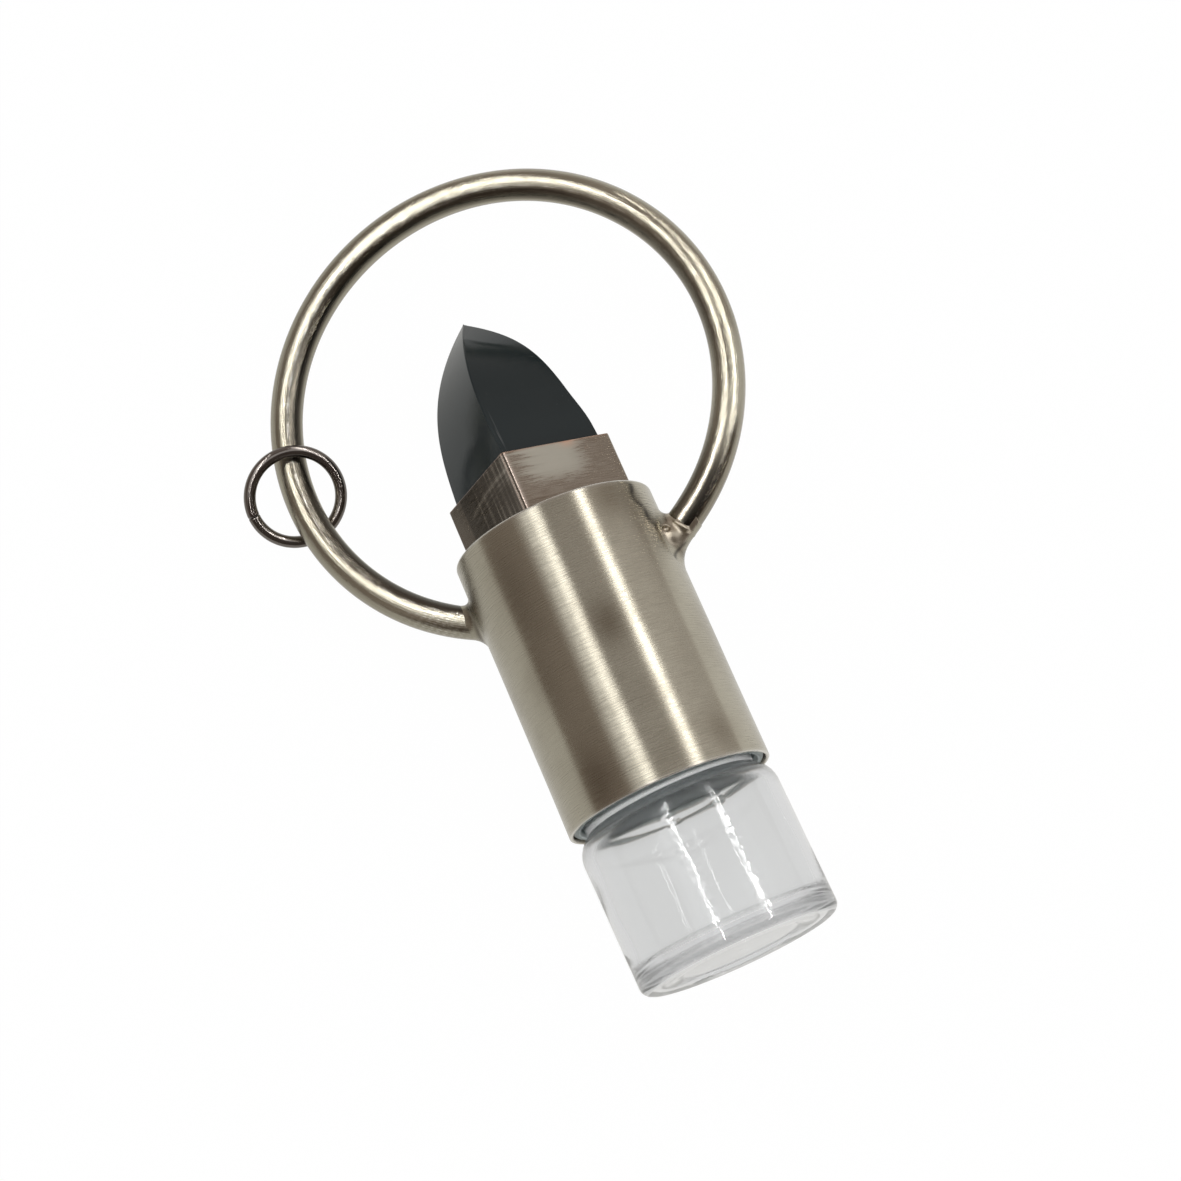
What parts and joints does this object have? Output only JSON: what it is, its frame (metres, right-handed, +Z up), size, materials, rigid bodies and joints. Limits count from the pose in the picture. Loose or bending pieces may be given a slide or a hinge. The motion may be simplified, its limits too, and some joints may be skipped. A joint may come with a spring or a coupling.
{
  "type": "bottle pendant",
  "caption": "Pendant with a screw-in glass vial, a soldered metal cap, a pointed dark stone in a square bezel, a big open ring and a split jump ring, lying on its side.",
  "frame": {"origin": "on the floor, under the middle of the row as it lies", "axes": "+Z up from the floor, +Y along the bottle's axis from the glass to the stone, +X to the right as seen from above with the stone at the top"},
  "size_m": [0.0538, 0.0904, 0.022],
  "materials": {
    "gunmetal": "brushed, plated grey-brown, with fine scratches and coppery solder",
    "black_stone": "polished volcanic glass, nearly black",
    "inner_cap_metal": "satin, bluish grey",
    "clear_glass": "clear, slightly wavy",
    "dark_gunmetal": "polished, dark"
  },
  "bodies": {
    "pendant": {"metal_body": "gunmetal", "stone": "black_stone", "inner_cap": "inner_cap_metal", "jump_ring": "dark_gunmetal"},
    "bottle": {"vial": "clear_glass"}
  },
  "joints": [
    {"name": "vial_draw", "type": "slide", "parent": "pendant", "child": "bottle", "axis": [0.0197, -0.9998, 0.007], "range_m": [0, 0.018]}
  ]
}
